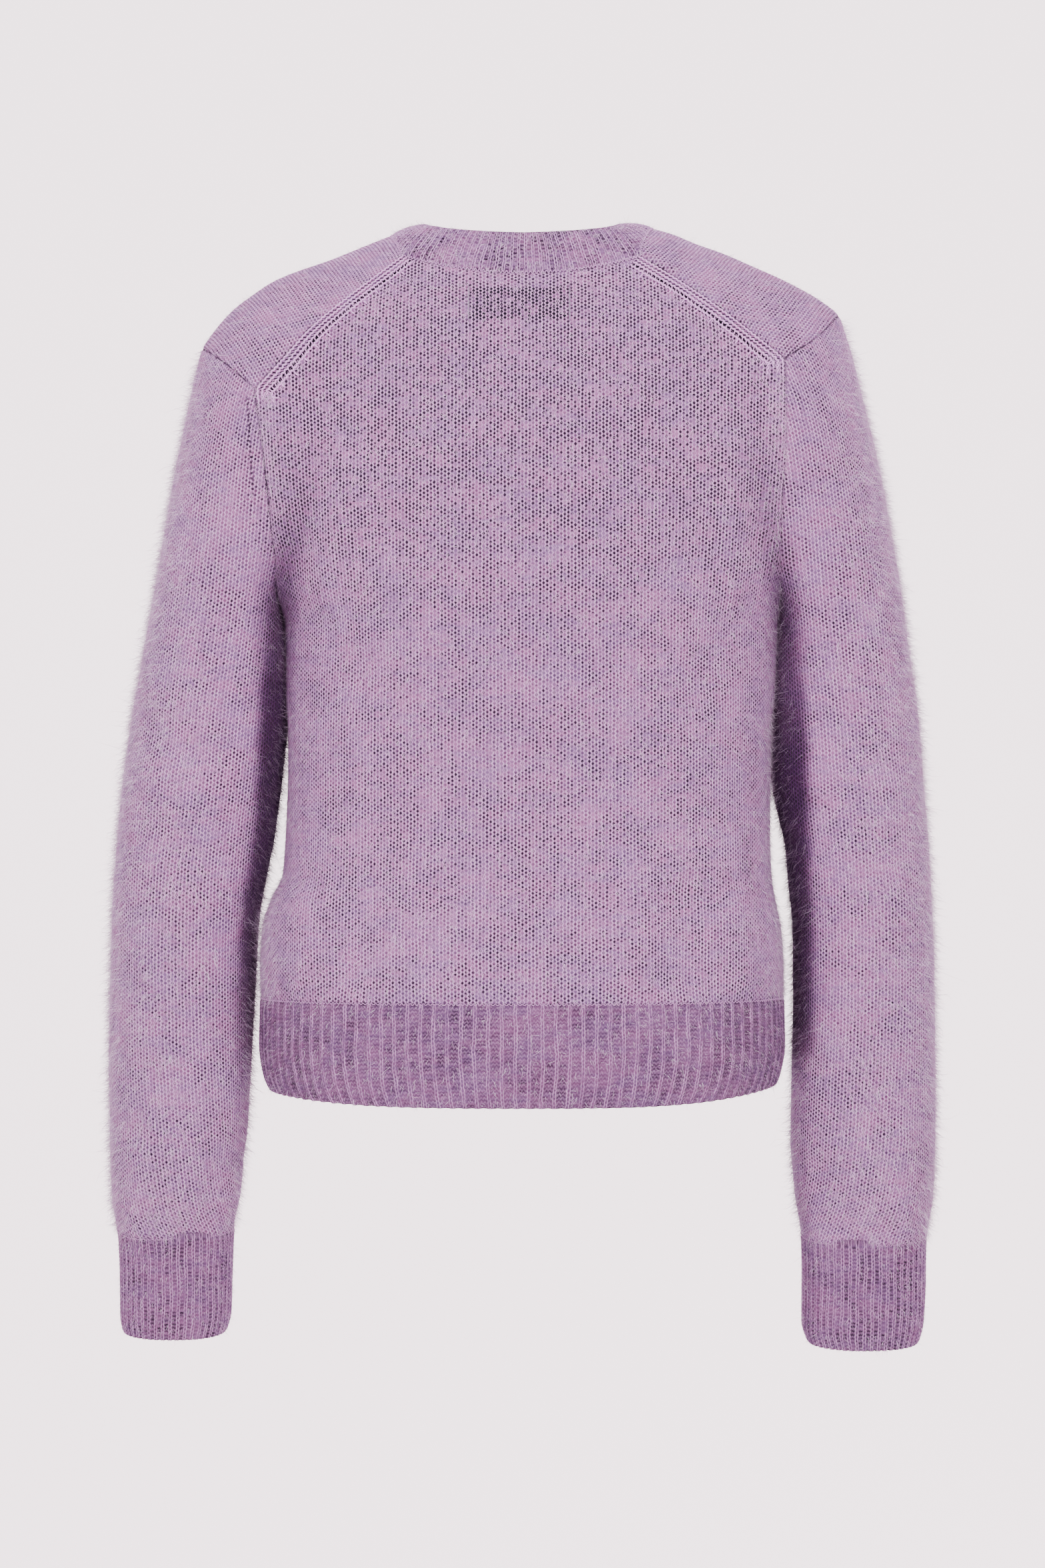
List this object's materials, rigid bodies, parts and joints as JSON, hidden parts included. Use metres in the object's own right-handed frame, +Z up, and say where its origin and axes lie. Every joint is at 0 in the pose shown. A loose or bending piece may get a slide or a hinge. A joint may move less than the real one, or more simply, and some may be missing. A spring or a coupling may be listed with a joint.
{
  "type": "cropped cardigan",
  "caption": "Cropped long-sleeved knitted cardigan with a round ribbed neck, ribbed cuffs and a wide ribbed hem, buttoned up the front and filled out as when worn.",
  "frame": {"origin": "midway between the two high points of the neck opening, where the shoulders hold the garment up", "axes": "+Z up along the garment; +Y out of the back, so the buttoned front faces -Y; +X towards the wearer's left"},
  "size_m": [0.4991, 0.2427, 0.6792],
  "materials": {
    "knit": "brushed marled yarn, matt",
    "rib": "brushed marled yarn, ribbed, matt",
    "label_tape": "woven tape, blank",
    "button": "satin"
  },
  "bodies": {
    "root": {"back": "knit", "front_left": "knit", "front_right": "knit", "sleeve_left": "knit", "sleeve_right": "knit", "cuff_left": "rib", "cuff_right": "rib", "neck_band": "rib", "hem_back": "rib", "hem_front_left": "rib", "hem_front_right": "rib", "button_band_left": "rib", "button_band_right": "rib", "button_1": "button", "button_2": "button", "button_3": "button", "button_4": "button", "button_5": "button", "button_6": "button", "neck_label": "label_tape"}
  },
  "joints": []
}
